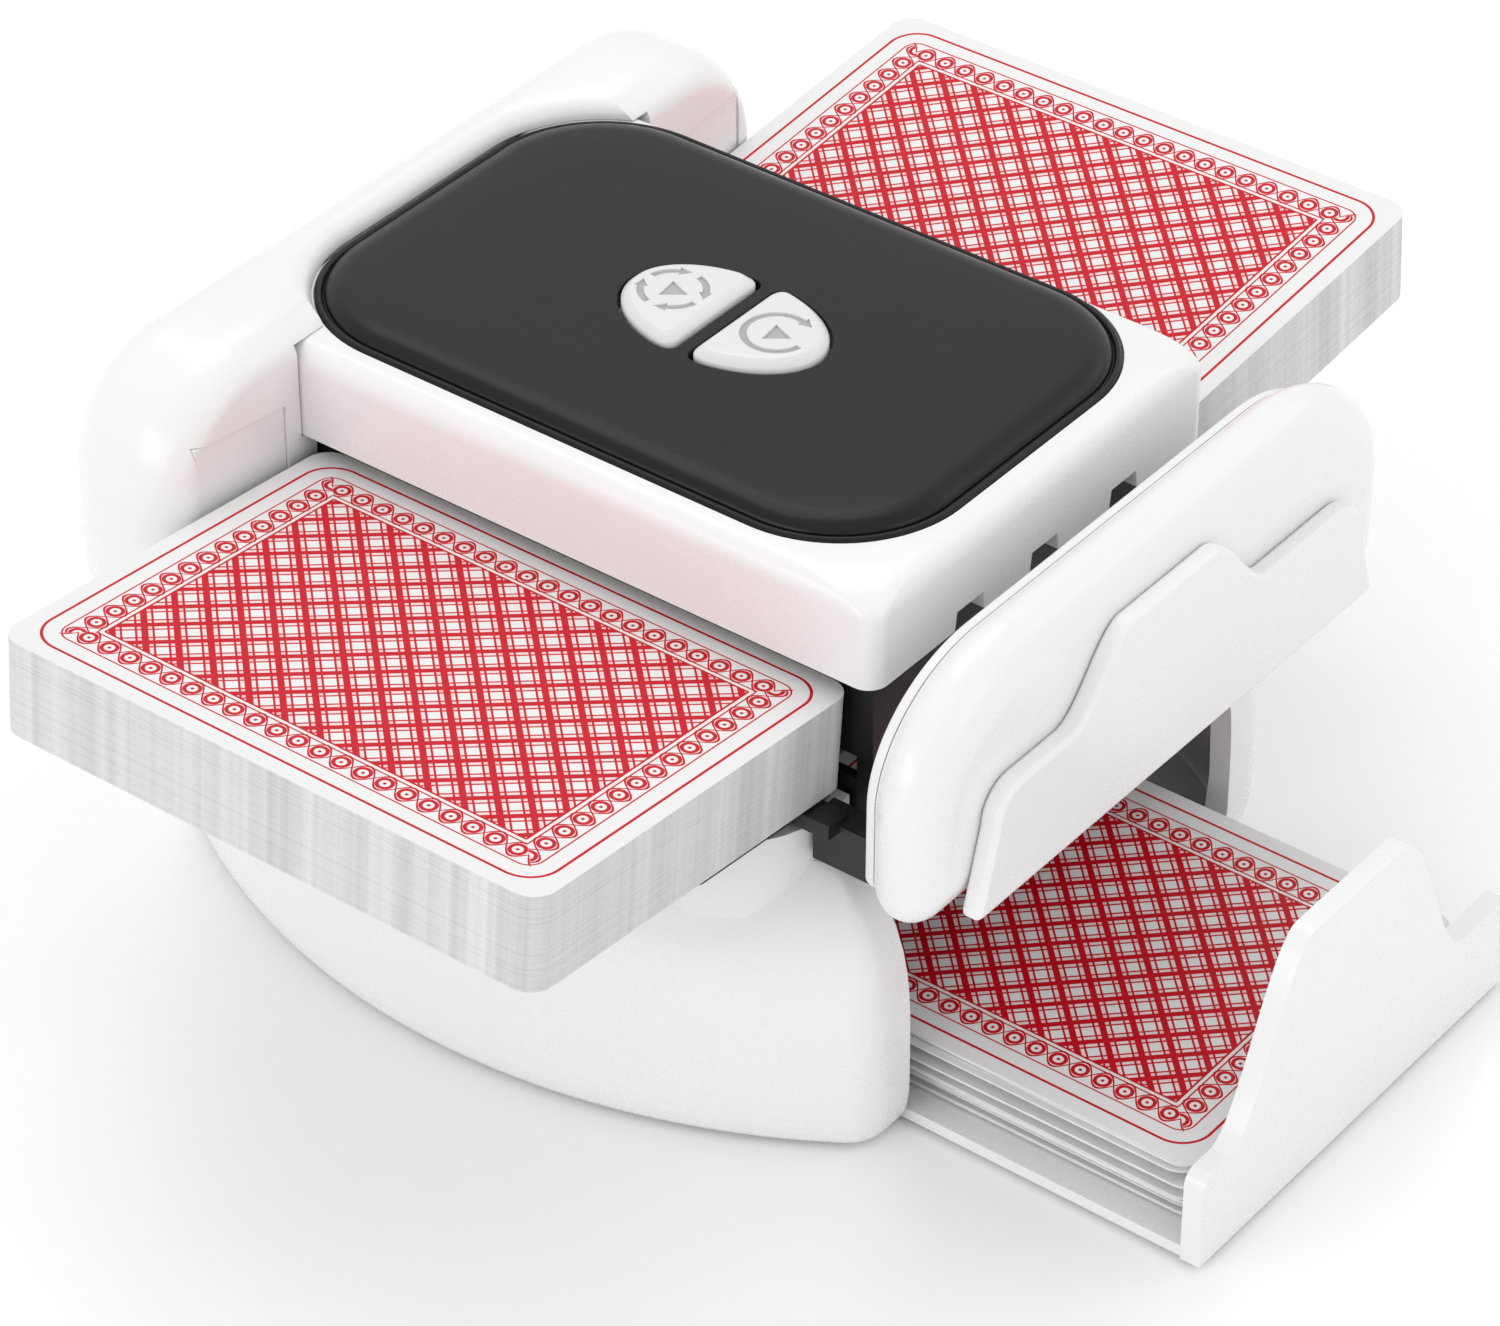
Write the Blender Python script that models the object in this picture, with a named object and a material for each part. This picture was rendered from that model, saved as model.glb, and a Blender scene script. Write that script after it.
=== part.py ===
"""Two-deck automatic card shuffler: static CAD of every separate piece, in metres, +Z up."""
import math

import bmesh
import bpy
from mathutils import Matrix, Vector

for old in list(bpy.data.objects):
    bpy.data.objects.remove(old, do_unlink=True)

# driving dimensions, in millimetres from the centre of the body
MM = 0.001
BODY_X = -22.0          # body centre in the world frame, whose origin is the bbox bottom centre
GAP = 0.3               # clearance between neighbouring pieces
WALL = 2.2              # moulded wall thickness
BELL_Y = -3.3           # middle of the hump on the drawer plate and on the badge

BASE_HALF_X = 60.4
BASE_HALF_Y = 64.4
BASE_ARC_R = 103.0
BASE_CORNER_R = 7.0
BASE_BOTTOM = 1.0
BASE_TOP = 42.0
NECK_TOP = 48.2
NECK_FRONT = 54.0
NECK_X0 = -38.0
NECK_X1 = 48.0
NECK_R = 14.0
PLATE_TOP = 2.8         # plates that close the base
FASTENER_Y = 50.0
SCREW_X = 18.0
FOOT_X = 36.0
FOOT_Y = 48.0
SOCKET_Z0 = 10.5        # charging socket in the left side
SOCKET_Z1 = 13.7
SOCKET_HALF_Y = 4.5
CELL_R = 7.1
CELL_HALF_X = 25.0
CELL_Y = 48.0
CELL_Z = 12.5

COVER_HALF_X = 53.5
COVER_HALF_Y = 37.0
COVER_BOTTOM = 68.0
COVER_TOP = 82.0
COVER_INNER_TOP = 79.2
NOTCH_TOP = 70.8
NOTCH_YS = (-16.5, -0.2, 17.6)
PANEL_X = -1.4          # middle of the panel
PANEL_Y = 1.4
PANEL_HALF_X = 50.8
PANEL_HALF_Y = 34.2
PANEL_CORNER_R = 19.0
PANEL_SEAT = 80.9
PANEL_TOP = 84.0
BUTTON_A = 15.6
BUTTON_B = 10.0
BUTTON_GAP = 3.0
BUTTON_X = 1.2
BUTTON_TOP = 85.4
BUTTON_TRAVEL = 0.8
BUTTON_BOTTOM = 81.9
BUTTON_CHAMFER = 0.9
STEM_XS = (-6.5, 8.9)
STEM_R = 1.8
DOME_TOP = 78.8
BOARD_TOP = 77.9

CARD_L = 88.0
CARD_W = 63.0
CARD_R = 3.5
DECK_T = 14.0
DECK_XS = (4.6, 3.4)    # front and back pack
DECK_Y = 65.6
DECK_TOP = 68.0
DECK_TILT = 5.0

SHAFT_X0 = -41.6        # drop shaft inner faces
SHAFT_X1 = 49.6
SHAFT_HALF_Y = 32.1
CORE_WALL = 1.5

LEFT_IN = -41.0         # left arm, inner and outer faces
LEFT_OUT = -62.0
LEFT_HALF = 63.0
LEFT_TOP = 85.0
LEFT_BOTTOM = 47.6
RIGHT_IN = 62.0         # right arm, inner and outer faces
RIGHT_OUT = 73.0
RIGHT_HALF = 52.6
RIGHT_TOP = 81.8
RIGHT_BOTTOM = 47.0
BADGE_T = 2.8
BADGE_HALF = 45.0
BADGE_SHOULDER = 65.3
BADGE_TOP = 75.8

DRAWER_OUT = 106.0      # front face of the drawer plate, drawer open
DRAWER_PLATE_T = 3.0
DRAWER_HALF_Y = 36.6
DRAWER_BACK = -2.0
DRAWER_FLOOR_Z = 0.8
DRAWER_FLOOR_T = 1.8
HUMP_TOP = 41.6
SHOULDER_TOP = 15.4
STACK_T = 9.6
STACK_Y = -1.0
STOP_TOP = 9.0
RAIL_TOP = 4.6

ROLLER_Y = 42.0
ROLLER_Z = 45.6
ROLLER_R = 6.0
SHAFT_R = 1.5
FIT = 0.05              # radial clearance of a running or pressed bore
MODULE = 0.8
GEAR_TEETH = 18
PINION_TEETH = 14
GEAR_X0 = -50.4
GEAR_X1 = -47.4
MOTOR_X0 = -41.5
MOTOR_X1 = -25.5
MOTOR_Y = 40.2


def place(x, y, z):
    return Vector(((x + BODY_X) * MM, y * MM, z * MM))


def material(name, colour, rough, metal=0.0):
    mat = bpy.data.materials.new(name)
    mat.use_nodes = True
    node = mat.node_tree.nodes["Principled BSDF"]
    node.inputs["Base Color"].default_value = (*colour, 1.0)
    node.inputs["Roughness"].default_value = rough
    node.inputs["Metallic"].default_value = metal
    return mat


looks = {
    "white": ((0.86, 0.86, 0.87), 0.3, 0.0),
    "gloss_black": ((0.02, 0.02, 0.022), 0.15, 0.0),
    "black": ((0.03, 0.03, 0.032), 0.5, 0.0),
    "rubber": ((0.05, 0.05, 0.05), 0.8, 0.0),
    "steel": ((0.6, 0.6, 0.62), 0.3, 1.0),
    "brass": ((0.72, 0.52, 0.2), 0.35, 1.0),
    "nylon": ((0.8, 0.78, 0.7), 0.45, 0.0),
    "card": ((0.9, 0.88, 0.87), 0.55, 0.0),
    "board": ((0.02, 0.16, 0.07), 0.5, 0.0),
    "silicone": ((0.75, 0.76, 0.78), 0.6, 0.0),
    "cell": ((0.1, 0.25, 0.5), 0.4, 0.0),
}


def new_object(name, bm, look, smooth=None):
    bmesh.ops.recalc_face_normals(bm, faces=bm.faces)
    mesh = bpy.data.meshes.new(name)
    bm.to_mesh(mesh)
    bm.free()
    obj = bpy.data.objects.new(name, mesh)
    bpy.context.scene.collection.objects.link(obj)
    if look:
        colour, rough, metal = looks[look]
        mesh.materials.append(material(name, colour, rough, metal))
    if smooth:
        mesh.shade_smooth()
        mesh.set_sharp_from_angle(angle=math.radians(smooth))
    return obj


def lift(axis, level, u, v):
    """Point of an outline (u, v) at a level along the named axis."""
    if axis == "z":
        return place(u, v, level)
    if axis == "x":
        return place(level, u, v)
    return place(u, level, v)


def loft(name, rings, axis="z", look=None, smooth=None):
    """Closed solid through outlines of equal length; rings is a list of (level, outline)."""
    bm = bmesh.new()
    loops = []
    for level, outline in rings:
        loops.append([bm.verts.new(lift(axis, level, u, v)) for u, v in outline])
    count = len(loops[0])
    for low, high in zip(loops, loops[1:]):
        for i in range(count):
            j = (i + 1) % count
            bm.faces.new((low[i], low[j], high[j], high[i]))
    bm.faces.new(list(reversed(loops[0])))
    bm.faces.new(loops[-1])
    return new_object(name, bm, look, smooth)


def prism(name, outline, low, high, axis="z", look=None, smooth=None):
    return loft(name, [(low, outline), (high, outline)], axis, look, smooth)


def arc(cu, cv, ru, rv, start, end, steps):
    points = []
    for i in range(steps + 1):
        a = math.radians(start + (end - start) * i / steps)
        points.append((cu + ru * math.cos(a), cv + rv * math.sin(a)))
    return points


def rounded(u0, v0, u1, v1, r, steps=4):
    if r <= 0:
        return [(u0, v0), (u1, v0), (u1, v1), (u0, v1)]
    out = arc(u1 - r, v0 + r, r, r, -90, 0, steps)
    out += arc(u1 - r, v1 - r, r, r, 0, 90, steps)
    out += arc(u0 + r, v1 - r, r, r, 90, 180, steps)
    out += arc(u0 + r, v0 + r, r, r, 180, 270, steps)
    return out


def box(name, x0, x1, y0, y1, z0, z1, look=None, r=0.0):
    return prism(name, rounded(x0, y0, x1, y1, r), z0, z1, "z", look)


def rod(name, x0, x1, y, z, r, look=None, steps=20):
    return prism(name, arc(y, z, r, r, 0, 360 - 360 / steps, steps - 1), x0, x1, "x", look, 40)


def pin(name, x, y, z0, z1, r, look=None, steps=20):
    return prism(name, arc(x, y, r, r, 0, 360 - 360 / steps, steps - 1), z0, z1, "z", look, 40)


def combine(obj, tools, operation, smooth=None):
    """Apply exact booleans and drop the tool solids."""
    for tool in tools:
        mod = obj.modifiers.new(tool.name, "BOOLEAN")
        mod.operation = operation
        mod.solver = "EXACT"
        mod.object = tool
    bpy.context.view_layer.update()
    graph = bpy.context.evaluated_depsgraph_get()
    mesh = bpy.data.meshes.new_from_object(obj.evaluated_get(graph))
    old = obj.data
    obj.modifiers.clear()
    obj.data = mesh
    bpy.data.meshes.remove(old)
    mesh.name = obj.name
    for tool in tools:
        bpy.data.objects.remove(tool, do_unlink=True)
    if smooth:
        mesh.shade_smooth()
        mesh.set_sharp_from_angle(angle=math.radians(smooth))
    return obj


def cut(obj, *tools, smooth=None):
    return combine(obj, tools, "DIFFERENCE", smooth)


def join(obj, *tools, smooth=None):
    return combine(obj, tools, "UNION", smooth)


def move_origin(obj, point):
    shift = point - obj.location
    obj.data.transform(Matrix.Translation(-shift))
    obj.location = point


def turned(obj, angle, pivot):
    """Turn the mesh of an object about an X-parallel line through a pivot."""
    spin = Matrix.Rotation(math.radians(angle), 4, "X")
    obj.data.transform(Matrix.Translation(pivot) @ spin @ Matrix.Translation(-pivot))
    return obj


# base: two bulged aprons, straight sides, drawer opening and a neck under each tray
def base_outline(inset):
    """Plan of the base: large front and back arcs, straight sides and small corner arcs."""
    half_x = BASE_HALF_X - inset
    r = max(BASE_CORNER_R - inset, 2.0)
    big = BASE_ARC_R - inset
    centre_y = BASE_ARC_R - BASE_HALF_Y
    cx = half_x - r
    cy = centre_y - math.sqrt((big - r) ** 2 - cx ** 2)
    lean = math.degrees(math.atan2(cy - centre_y, cx))
    left = arc(-cx, cy, r, r, 180, 180 - lean, 4)[:-1]
    front = arc(0, centre_y, big, big, -180 - lean, lean, 16)
    right = arc(cx, cy, r, r, lean, 0, 4)[1:]
    half = left + front + right
    return half + [(-u, -v) for u, v in half]


def neck_box(name, side, inset, low, high, r):
    y0, y1 = sorted((side * (NECK_FRONT - inset), side * (SHAFT_HALF_Y - 12)))
    return box(name, NECK_X0 + inset, NECK_X1 - inset, y0, y1, low, high, None, r)


shell_levels = [(BASE_BOTTOM, 2.4), (3.0, 0.8), (8.0, 0.0), (24.0, 0.7), (33.0, 2.2), (38.5, 5.0), (BASE_TOP, 9.5)]
hollow_levels = [(-1.0, 4.6), (3.0, 3.2), (24.0, 3.1), (34.0, 5.6), (BASE_TOP - WALL, 11.5)]
base = loft("base_shell", [(z, base_outline(d)) for z, d in shell_levels], "z", "white")
join(base, *[neck_box("neck", side, 0, BASE_TOP - 6, NECK_TOP, NECK_R) for side in (-1, 1)])
tools = [loft("cavity", [(z, base_outline(d)) for z, d in hollow_levels])]
tools.append(box("shaft_cut", SHAFT_X0 - 2, SHAFT_X1 + 2, -SHAFT_HALF_Y - WALL, SHAFT_HALF_Y + WALL, 30, 60))
tools.append(box("drawer_cut", SHAFT_X1, BASE_HALF_X + 10, -DRAWER_HALF_Y - 0.5, DRAWER_HALF_Y + 0.5, -1, 38))
for side in (-1, 1):
    tools.append(neck_box("neck_cut", side, WALL, 30, 60, NECK_R - WALL))
    y0, y1 = sorted((side * 53.5, side * 33.0))
    tools.append(box("gear_cut", GEAR_X0 - 1.6, GEAR_X1 + 1.4, y0, y1, 30, 60))
    tools.append(rod("bore", -60, -30, side * ROLLER_Y, ROLLER_Z, SHAFT_R + 0.09))
port = rounded(-SOCKET_HALF_Y - 0.5, SOCKET_Z0 - 0.5, SOCKET_HALF_Y + 0.5, SOCKET_Z1 + 0.5, 2.0)
tools.append(prism("port_cut", port, -70, -50, "x"))
cut(base, *tools, smooth=30)

for side, tag in ((-1, "front"), (1, "back")):
    inner = side * (BASE_HALF_Y - 24)
    bulge = [(u, v) for u, v in base_outline(5.0) if side * v > 42.0]
    reach = max(abs(u) for u, v in bulge)
    outer = [(reach, inner), *sorted(bulge, key=lambda p: -p[0]), (-reach, inner)]
    plate = prism("bottom_plate_" + tag, outer, BASE_BOTTOM, PLATE_TOP, "z", "white")
    cut(plate, *[pin("hole", x, side * FASTENER_Y, 0, 4, 2.1) for x in (-SCREW_X, SCREW_X)])
    for x, end in ((-1, "left"), (1, "right")):
        pin("foot_%s_%s" % (tag, end), FOOT_X * x, side * FOOT_Y, 0, BASE_BOTTOM - GAP, 5.0, "rubber", 16)
        head = pin("screw_%s_%s" % (tag, end), SCREW_X * x, side * FASTENER_Y, 1.3, 2.6, 1.8, "steel", 14)
        join(head, pin("shank", SCREW_X * x, side * FASTENER_Y, 2.3, 4.9, 1.2), smooth=40)


# drawer: floor, back stop and bell-shaped front plate in one moulding
def bell_outline(half, lean, low, shoulder, corner, top, foot, brow):
    """Skirt with round shoulders and a flat-topped hump whose flanks are half a cosine wave."""
    skirt = [(-half, low), *arc(lean + corner - half, shoulder - corner, corner, corner, 180, 90, 3)]
    steps = 10
    hump = []
    for i in range(steps + 1):
        t = i / steps
        wave = (1 - math.cos(math.pi * t)) / 2
        hump.append((-foot + (foot - brow) * t, shoulder + (top - shoulder) * wave))
    left = skirt + [(u + BELL_Y, v) for u, v in hump]
    right = [(-u, v) for u, v in skirt] + [(BELL_Y - u, v) for u, v in hump]
    return left + right[::-1]


floor_top = DRAWER_FLOOR_Z + DRAWER_FLOOR_T
plate_in = DRAWER_OUT - DRAWER_PLATE_T
bell = bell_outline(DRAWER_HALF_Y, 0, DRAWER_FLOOR_Z, SHOULDER_TOP, 2.0, HUMP_TOP, 27.8, 10.2)
drawer = prism("drawer", bell, plate_in, DRAWER_OUT, "x", "white")
floor = box("floor", DRAWER_BACK, plate_in + 1.5, -DRAWER_HALF_Y, DRAWER_HALF_Y, DRAWER_FLOOR_Z, floor_top)
stop = box("stop", DRAWER_BACK, DRAWER_BACK + 2, -30, 30, DRAWER_FLOOR_Z, STOP_TOP)
join(drawer, floor, stop, smooth=30)
move_origin(drawer, place(DRAWER_OUT, 0, DRAWER_FLOOR_Z))
for side, tag in ((-1, "front"), (1, "back")):
    a = DRAWER_HALF_Y + GAP
    lip = floor_top + GAP
    foot = [(a, DRAWER_FLOOR_Z), (a + 2, DRAWER_FLOOR_Z)]
    rail = foot + [(a + 2, RAIL_TOP), (a - 2.2, RAIL_TOP), (a - 2.2, lip), (a, lip)]
    prism("drawer_rail_" + tag, [(side * u, v) for u, v in rail], -44, 56, "x", "black")
stack_x = plate_in - 1.0 - CARD_L / 2
stack = box("cards_drawer", stack_x - CARD_L / 2, stack_x + CARD_L / 2, STACK_Y - CARD_W / 2, STACK_Y + CARD_W / 2,
            floor_top + GAP, floor_top + GAP + STACK_T, "card", CARD_R)
move_origin(stack, place(stack_x, STACK_Y, floor_top + GAP))

# core frame with the drop shaft, closed at the top, with a slot for each pack
core = box("core_frame", SHAFT_X0 - CORE_WALL, SHAFT_X1 + CORE_WALL, -SHAFT_HALF_Y - CORE_WALL,
           SHAFT_HALF_Y + CORE_WALL, BASE_TOP - 6, 75.0, "black")
cut(core, box("shaft", SHAFT_X0, SHAFT_X1, -SHAFT_HALF_Y, SHAFT_HALF_Y, 30, 73.4),
    box("slot", SHAFT_X0 + 1, SHAFT_X1 - 1, -40, 40, 50.6, 54.2))

# packs, their trays and the feed rollers
for side, tag, deck_x in ((-1, "front", DECK_XS[0]), (1, "back", DECK_XS[1])):
    pivot = place(deck_x, side * DECK_Y, DECK_TOP)
    tilt = side * DECK_TILT
    y0, y1 = sorted((side * (DECK_Y - CARD_W / 2), side * (DECK_Y + CARD_W / 2)))
    deck = box("cards_" + tag, deck_x - CARD_L / 2, deck_x + CARD_L / 2, y0, y1, DECK_TOP - DECK_T, DECK_TOP,
               "card", CARD_R)
    turned(deck, tilt, pivot)
    move_origin(deck, pivot)
    under = DECK_TOP - DECK_T - GAP
    y0, y1 = sorted((side * 33.9, side * 62.0))
    tray = box("tray_" + tag, -37.4, 46.4, y0, y1, under - 2.6, under, "black", 1.0)
    y0, y1 = sorted((side * 39.0, side * 43.4))
    tab = box("tab", 40.0, 52.6, y0, y1, under - 2.3, under - 0.2)
    join(tray, tab)
    turned(tray, tilt, pivot)
    y0, y1 = sorted((side * 38.4, side * 42.8))
    bar = box("bar", NECK_X1 + 0.6, RIGHT_IN - GAP, y0, y1, 43.6, 50.6)
    join(tray, bar)
    y0, y1 = sorted((side * 35.0, side * 49.0))
    cut(tray, box("window", -34, 42.5, y0, y1, 40, 60))
    y = side * ROLLER_Y
    shaft = rod("roller_shaft_" + tag, -51.2, 44.6, y, ROLLER_Z, SHAFT_R, "steel", 16)
    move_origin(shaft, place(0, y, ROLLER_Z))
    roller = rod("feed_roller_" + tag, -30, 40, y, ROLLER_Z, ROLLER_R, "rubber", 28)
    cut(roller, rod("bore", -40, 50, y, ROLLER_Z, SHAFT_R + FIT, None, 16), smooth=40)
    move_origin(roller, place(0, y, ROLLER_Z))


# gears and motors
def gear_outline(teeth, y, z, phase):
    """Straight-flanked teeth: root, tip, tip and root corners for each one."""
    r = MODULE * teeth / 2
    corners = ((-0.27, -1.1), (-0.125, 0.9), (0.125, 0.9), (0.27, -1.1))
    points = []
    for i in range(teeth):
        for offset, level in corners:
            a = phase + 2 * math.pi * (i + offset) / teeth
            reach = r + MODULE * level
            points.append((y + reach * math.cos(a), z + reach * math.sin(a)))
    return points


span = MODULE * (GEAR_TEETH + PINION_TEETH) / 2 + 0.15
drop = math.sqrt(span ** 2 - (MOTOR_Y - ROLLER_Y) ** 2)
for side, tag in ((-1, "front"), (1, "back")):
    y = side * ROLLER_Y
    my, mz = side * MOTOR_Y, ROLLER_Z - drop
    aim = math.atan2(-drop, my - y)
    teeth = gear_outline(GEAR_TEETH, y, ROLLER_Z, aim)
    gear = prism("roller_gear_" + tag, teeth, GEAR_X0, GEAR_X1, "x", "nylon")
    cut(gear, rod("bore", -60, -40, y, ROLLER_Z, SHAFT_R + FIT, None, 16))
    move_origin(gear, place(0, y, ROLLER_Z))
    teeth = gear_outline(PINION_TEETH, my, mz, aim + math.pi + math.pi / PINION_TEETH)
    pinion = prism("motor_pinion_" + tag, teeth, GEAR_X0, GEAR_X1, "x", "brass")
    join(pinion, rod("stub", GEAR_X1 - 1, MOTOR_X0 - GAP, my, mz, 0.9, None, 12))
    move_origin(pinion, place(0, my, mz))
    prism("motor_" + tag, rounded(my - 6, mz - 5, my + 6, mz + 5, 2.6, 3), MOTOR_X0, MOTOR_X1, "x", "steel", 40)

# top cover, panel, keys, domes and board
rim = [(COVER_BOTTOM, 0.0, 3.0), (79.2, 0.0, 3.4), (81.0, 0.5, 6.0), (COVER_TOP, 1.7, 12.0)]


def cover_outline(inset, r):
    return rounded(-COVER_HALF_X + inset, -COVER_HALF_Y + inset, COVER_HALF_X - inset, COVER_HALF_Y - inset, r, 5)


def panel_outline(inset):
    half_x, half_y = PANEL_HALF_X - inset, PANEL_HALF_Y - inset
    return rounded(PANEL_X - half_x, PANEL_Y - half_y, PANEL_X + half_x, PANEL_Y + half_y, PANEL_CORNER_R - inset, 6)


cover = loft("top_cover", [(z, cover_outline(d, r)) for z, d, r in rim], "z", "white")
tools = [prism("seat", panel_outline(-0.2), PANEL_SEAT, 90)]
tools.append(prism("room", cover_outline(WALL, 1.5), 60, COVER_INNER_TOP))
for y in NOTCH_YS:
    notch = [(y - 4.4, 60), (y + 4.4, 60), (y + 2.8, NOTCH_TOP), (y - 2.8, NOTCH_TOP)]
    tools.append(prism("notch", notch, 45, 60, "x"))
tools += [pin("stem_hole", x, 0, 70, 90, 2.4, None, 16) for x in STEM_XS]
cut(cover, *tools, smooth=30)


def button_outline(side, grow):
    """Half of an ellipse closed by a straight inner edge."""
    edge = BUTTON_GAP / 2 - grow
    a, b = BUTTON_A + grow, BUTTON_B + grow
    reach = math.degrees(math.acos(edge / a))
    points = [(BUTTON_X + side * u, v) for u, v in arc(0, 0, a, b, -reach, reach, 16)]
    return points[::side]


panel_levels = [(PANEL_SEAT + GAP, 0.0), (82.6, 0.0), (83.6, 0.8), (PANEL_TOP, 2.6)]
panel = loft("top_panel", [(z, panel_outline(d)) for z, d in panel_levels], "z", "gloss_black")
cut(panel, *[prism("opening", button_outline(side, 0.5), 70, 90) for side in (-1, 1)], smooth=30)
for side, tag, x in ((-1, "left", STEM_XS[0]), (1, "right", STEM_XS[1])):
    key_levels = [(BUTTON_BOTTOM, 0.0), (BUTTON_TOP - 0.8, 0.0), (BUTTON_TOP, -BUTTON_CHAMFER)]
    key = loft("button_" + tag, [(z, button_outline(side, d)) for z, d in key_levels], "z", "white")
    stem_bottom = DOME_TOP + BUTTON_TRAVEL + GAP
    join(key, pin("stem", x, 0, stem_bottom, BUTTON_BOTTOM + 0.5, STEM_R, None, 14), smooth=30)
    move_origin(key, place(x, 0, BUTTON_TOP))
    pin("dome_" + tag, x, 0, BOARD_TOP + GAP, DOME_TOP, 2.2, "silicone", 16)
box("control_board", -26, 30, -18, 18, BOARD_TOP - 1.7, BOARD_TOP, "board", 1.5)


# side arms
def arm_outline(half, low, high, ru, rv, rb, inset):
    """Side view of an arm: elliptic upper corners and small lower ones."""
    h, lo, hi = half - inset, low + inset, high - inset
    a, b, c = max(ru - inset, 1), max(rv - inset, 1), max(rb - inset, 1)
    out = arc(h - c, lo + c, c, c, -90, 0, 3)
    out += arc(h - a, hi - b, a, b, 0, 90, 6)
    out += arc(-h + a, hi - b, a, b, 90, 180, 6)
    out += arc(-h + c, lo + c, c, c, 180, 270, 3)
    return out


def left_outline(inset):
    return arm_outline(LEFT_HALF, LEFT_BOTTOM, LEFT_TOP, 18, 18, 6, inset)


def right_outline(inset):
    return arm_outline(RIGHT_HALF, RIGHT_BOTTOM, RIGHT_TOP, 23, 19, 5, inset)


def end_outline(side, inset, inner):
    """Upper part of the left arm's side view beyond a given distance from the middle."""
    arch = [(side * abs(u), v) for u, v in left_outline(inset)[4:11]]
    return [(side * inner, 40), (side * (LEFT_HALF - inset), 40), *arch, (side * inner, LEFT_TOP - inset)]


steps = [(LEFT_OUT, 8.0), (-61.0, 4.6), (-58.6, 1.8), (-54.5, 0.0), (-48.0, 0.0), (-44.6, 1.0), (LEFT_IN - 2.3, 2.2)]
left = loft("left_arm_shell", [(x, left_outline(d)) for x, d in steps], "x", "white")
room_x, room_y = -COVER_HALF_X - GAP, COVER_HALF_Y + GAP
tools = [box("cover_room", room_x, 0, -room_y, room_y, COVER_BOTTOM - GAP, 99)]
tools.append(box("core_room", room_x, 0, -34.4, 34.4, 40, 70))
for side in (-1, 1):
    tools.append(prism("end_room", end_outline(side, 2.6, 39.6), -59.0, -30, "x"))
    y0, y1 = sorted((side * 30.0, side * 52.0))
    tools.append(box("gear_room", -53.0, -30, y0, y1, 40, 54.6))
cut(left, *tools, smooth=30)
for side, tag in ((-1, "front"), (1, "back")):
    y0, y1 = sorted((side * 60.6, side * 37.4))
    slab = [(y0, 48), (y1, 48), (y1, 82.8), (y0, 82.8)]
    guide = prism("left_guide_" + tag, slab, LEFT_IN - 2.0, LEFT_IN, "x", "white")
    combine(guide, [prism("keep", left_outline(3.4), LEFT_IN - 4, LEFT_IN + 1, "x")], "INTERSECT")
    y0, y1 = sorted((side * 57.5, side * 40.0))
    cut(guide, box("recess", LEFT_IN - 0.8, 0, y0, y1, 52, 76.4))

steps = [(RIGHT_IN + 1.9, 2.2), (65.4, 1.0), (67.2, 0.0), (69.6, 0.3), (71.4, 1.6), (72.5, 3.8), (RIGHT_OUT, 6.6)]
right = loft("right_arm_shell", [(x, right_outline(d)) for x, d in steps], "x", "white")
cut(right, prism("hollow", right_outline(4.0), 50, 69.0, "x"), smooth=30)
steps = [(RIGHT_IN, 2.9), (RIGHT_IN + 0.6, 2.4), (RIGHT_IN + 1.6, 2.4)]
loft("right_arm_liner", [(x, right_outline(d)) for x, d in steps], "x", "white")
bell = bell_outline(BADGE_HALF, 3.6, RIGHT_BOTTOM + 0.6, BADGE_SHOULDER, 5.5, BADGE_TOP, 22.5, 9.0)
prism("right_arm_badge", bell, RIGHT_OUT + GAP, RIGHT_OUT + GAP + BADGE_T, "x", "white")

# power: one cell in the back apron and its charging socket
rod("battery_cell", -CELL_HALF_X, CELL_HALF_X, CELL_Y, CELL_Z, CELL_R, "cell", 20)
socket = rounded(-SOCKET_HALF_Y, SOCKET_Z0, SOCKET_HALF_Y, SOCKET_Z1, 1.5, 3)
prism("charge_socket", socket, -59.8, -52.0, "x", "steel", 40)
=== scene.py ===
import math

import bpy
import numpy as np
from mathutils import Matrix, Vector


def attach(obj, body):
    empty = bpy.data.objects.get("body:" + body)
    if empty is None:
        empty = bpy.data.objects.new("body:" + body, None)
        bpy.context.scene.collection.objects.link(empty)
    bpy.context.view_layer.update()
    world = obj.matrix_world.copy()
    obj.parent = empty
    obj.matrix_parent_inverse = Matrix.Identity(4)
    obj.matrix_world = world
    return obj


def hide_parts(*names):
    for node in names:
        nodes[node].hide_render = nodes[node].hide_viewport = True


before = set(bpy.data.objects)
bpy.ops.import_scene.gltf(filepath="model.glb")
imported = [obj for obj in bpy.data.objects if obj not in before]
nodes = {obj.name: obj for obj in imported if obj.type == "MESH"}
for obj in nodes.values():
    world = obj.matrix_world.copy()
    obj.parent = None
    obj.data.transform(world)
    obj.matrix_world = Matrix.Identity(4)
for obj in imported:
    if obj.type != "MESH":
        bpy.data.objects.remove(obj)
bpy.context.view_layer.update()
mm = 0.001
bodyX = -22.0  # middle of the body, in mm from the origin
uvScale = 100.0  # mm on a card for one unit of its UV map
print("frame loaded")


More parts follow.
